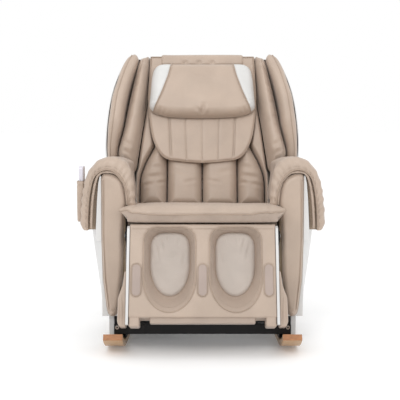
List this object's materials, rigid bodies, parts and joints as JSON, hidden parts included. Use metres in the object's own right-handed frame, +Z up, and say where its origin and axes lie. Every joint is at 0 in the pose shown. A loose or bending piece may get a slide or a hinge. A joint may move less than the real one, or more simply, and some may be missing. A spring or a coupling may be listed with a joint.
{
  "type": "massage chair",
  "caption": "Upholstered massage armchair on bent-wood runners, with reclining backrest, lifting legrest with calf wells, flip-up pillow and roller carriage.",
  "frame": {"origin": "on the floor, below the centre of the chair's bounding box", "axes": "+X to the sitter's left, +Y backwards, +Z up; the sitter faces -Y"},
  "size_m": [0.8383, 0.9918, 1.0357],
  "materials": {
    "leather": "soft grained beige leatherette",
    "white_shell": "glossy white",
    "bent_wood": "oiled laminated wood",
    "black_steel": "black powder coat",
    "bright_steel": "bright steel",
    "liner": "pale knitted lining",
    "knit": "ribbed knit",
    "plywood": "plain plywood",
    "black_plastic": "black moulded",
    "roller": "firm rubber",
    "remote_body": "pale lavender white",
    "button": "soft-touch grey"
  },
  "bodies": {
    "base": {"runner_left": "bent_wood", "runner_right": "bent_wood", "fixings": "bright_steel", "base_frame": "black_steel", "front_crossbar": "black_steel", "stop_brackets": "black_steel", "side_plinths": "white_shell", "arm_shell_left": "white_shell", "arm_shell_right": "white_shell", "arm_frame_left": "plywood", "arm_frame_right": "plywood", "arm_front_pad_left": "leather", "arm_front_pad_right": "leather", "armrest_pad_left": "leather", "armrest_pad_right": "leather", "remote_pocket": "leather", "seat_frame": "black_steel", "seat_board": "plywood", "seat_cushion": "leather", "air_pump": "black_plastic", "control_box": "black_plastic", "recline_drive": "black_plastic", "legrest_drive": "black_plastic"},
    "backrest": {"back_frame": "black_steel", "back_shell": "white_shell", "lumbar_pad_inner_left": "leather", "lumbar_pad_inner_right": "leather", "lumbar_pad_outer_left": "leather", "lumbar_pad_outer_right": "leather", "side_strips": "leather", "back_drape": "leather", "top_cover": "leather", "shoulder_cushion_left": "leather", "shoulder_cushion_right": "leather", "wing_left": "leather", "wing_right": "leather"},
    "pillow": {"pillow": "leather"},
    "carriage": {"massage_carriage": "black_steel"},
    "kneader_left": {"massage_arm_left": "black_steel"},
    "kneader_right": {"massage_arm_right": "black_steel"},
    "roller_upper_left": {"roller_upper_left": "roller"},
    "roller_upper_right": {"roller_upper_right": "roller"},
    "roller_lower_left": {"roller_lower_left": "roller"},
    "roller_lower_right": {"roller_lower_right": "roller"},
    "lead_screw": {"lead_screw": "bright_steel"},
    "legrest": {"legrest_body": "leather", "calf_liners": "liner", "knit_panels": "knit", "legrest_side_left": "white_shell", "legrest_side_right": "white_shell", "legrest_skirts": "leather", "legrest_frame": "plywood"},
    "recline_rod": {"recline_rod": "bright_steel"},
    "legrest_rod": {"legrest_rod": "bright_steel"},
    "remote": {"remote": "remote_body"},
    "button_power": {"button_power": "button"},
    "button_program": {"button_program": "button"},
    "button_pause": {"button_pause": "button"},
    "power_switch": {"power_switch": "black_plastic"}
  },
  "joints": [
    {"name": "backrest_recline", "type": "hinge", "parent": "base", "child": "backrest", "pos_m": [0, 0.165, 0.335], "axis": [-1, 0, 0], "range_deg": [0, 40]},
    {"name": "legrest_lift", "type": "hinge", "parent": "base", "child": "legrest", "pos_m": [0, -0.3654, 0.38687], "axis": [-1, 0, 0], "range_deg": [0, 75]},
    {"name": "recline_push", "type": "slide", "parent": "base", "child": "recline_rod", "axis": [0, -0.9903, 0.1392], "range_m": [0, 0.0754]},
    {"name": "legrest_push", "type": "slide", "parent": "base", "child": "legrest_rod", "axis": [0, -1, 0], "range_m": [0, 0.061]},
    {"name": "pillow_flip", "type": "hinge", "parent": "backrest", "child": "pillow", "pos_m": [0, 0.19049, 0.98956], "axis": [-1, 0, 0], "range_deg": [0, 80]},
    {"name": "carriage_climb", "type": "slide", "parent": "backrest", "child": "carriage", "axis": [0, 0.309, 0.9511], "range_m": [0, 0.4]},
    {"name": "lead_screw_spin", "type": "hinge", "parent": "backrest", "child": "lead_screw", "pos_m": [0, 0.18228, 0.44651], "axis": [0, 0.309, 0.9511], "continuous": true},
    {"name": "kneader_left_rock", "type": "hinge", "parent": "carriage", "child": "kneader_left", "pos_m": [0.056, 0.16647, 0.48845], "axis": [1, 0, 0], "range_deg": [-10, 10]},
    {"name": "roller_upper_left_spin", "type": "hinge", "parent": "kneader_left", "child": "roller_upper_left", "pos_m": [0.073, 0.16325, 0.53681], "axis": [1, 0, 0], "continuous": true},
    {"name": "roller_lower_left_spin", "type": "hinge", "parent": "kneader_left", "child": "roller_lower_left", "pos_m": [0.073, 0.13544, 0.45122], "axis": [1, 0, 0], "continuous": true},
    {"name": "kneader_right_rock", "type": "hinge", "parent": "carriage", "child": "kneader_right", "pos_m": [-0.056, 0.16647, 0.48845], "axis": [1, 0, 0], "range_deg": [-10, 10]},
    {"name": "roller_upper_right_spin", "type": "hinge", "parent": "kneader_right", "child": "roller_upper_right", "pos_m": [-0.073, 0.16325, 0.53681], "axis": [1, 0, 0], "continuous": true},
    {"name": "roller_lower_right_spin", "type": "hinge", "parent": "kneader_right", "child": "roller_lower_right", "pos_m": [-0.073, 0.13544, 0.45122], "axis": [1, 0, 0], "continuous": true},
    {"name": "remote_lift", "type": "slide", "parent": "base", "child": "remote", "axis": [0, 0, 1], "range_m": [0, 0.15]},
    {"name": "button_power_press", "type": "slide", "parent": "remote", "child": "button_power", "axis": [1, 0, 0], "range_m": [0, 0.0012], "stiffness_N_per_m": 300},
    {"name": "button_program_press", "type": "slide", "parent": "remote", "child": "button_program", "axis": [1, 0, 0], "range_m": [0, 0.0012], "stiffness_N_per_m": 300},
    {"name": "button_pause_press", "type": "slide", "parent": "remote", "child": "button_pause", "axis": [1, 0, 0], "range_m": [0, 0.0012], "stiffness_N_per_m": 300},
    {"name": "power_switch_rock", "type": "hinge", "parent": "base", "child": "power_switch", "pos_m": [0.062, 0.325, 0.118], "axis": [1, 0, 0], "range_deg": [0, 10]}
  ],
  "couplings": [
    {"joint": "recline_push", "follows": "backrest_recline", "m_per_rad": 0.10778},
    {"joint": "legrest_push", "follows": "legrest_lift", "m_per_rad": 0.046506},
    {"joint": "lead_screw_spin", "follows": "carriage_climb", "rad_per_m": 314.16}
  ]
}
